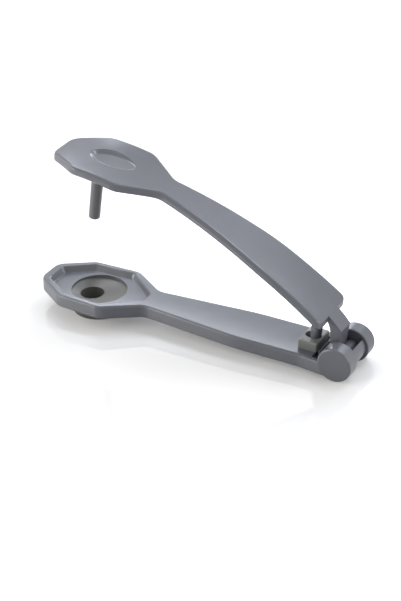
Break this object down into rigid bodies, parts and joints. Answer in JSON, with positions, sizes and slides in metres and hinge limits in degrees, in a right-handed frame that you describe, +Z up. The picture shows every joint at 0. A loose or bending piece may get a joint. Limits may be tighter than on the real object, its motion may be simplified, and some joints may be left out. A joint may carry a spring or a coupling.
{
  "type": "cherry pitter",
  "caption": "Hand-squeezed cherry pitter: an arched upper lever with a plunger, hinged on a lower lever with a cup, a cherry seat and a stone outlet.",
  "frame": {"origin": "centre of the stone outlet on the surface that the pitter stands on", "axes": "+X along the levers from the cup to the hinge, +Y across them, +Z up from the table"},
  "size_m": [0.1849, 0.0434, 0.0919],
  "materials": {
    "grey_plastic": "satin moulded",
    "plunger_plastic": "satin moulded",
    "seat_plastic": "satin moulded",
    "block_plastic": "satin moulded",
    "spring_steel": "drawn wire",
    "pin_steel": "turned"
  },
  "bodies": {
    "lower": {"lower_lever": "grey_plastic", "cherry_seat": "seat_plastic", "spring_seat": "block_plastic", "return_spring": "spring_steel", "hinge_pin": "pin_steel"},
    "upper": {"upper_lever": "grey_plastic", "plunger": "plunger_plastic"}
  },
  "joints": [
    {"name": "lever_hinge", "type": "hinge", "parent": "lower", "child": "upper", "pos_m": [0.14873, 0, 0.0092], "axis": [0, -1, 0], "range_deg": [0, 19.5], "stiffness_Nm_per_rad": 0.5, "springref_deg": -5.73, "deforming": ["return_spring"]}
  ]
}
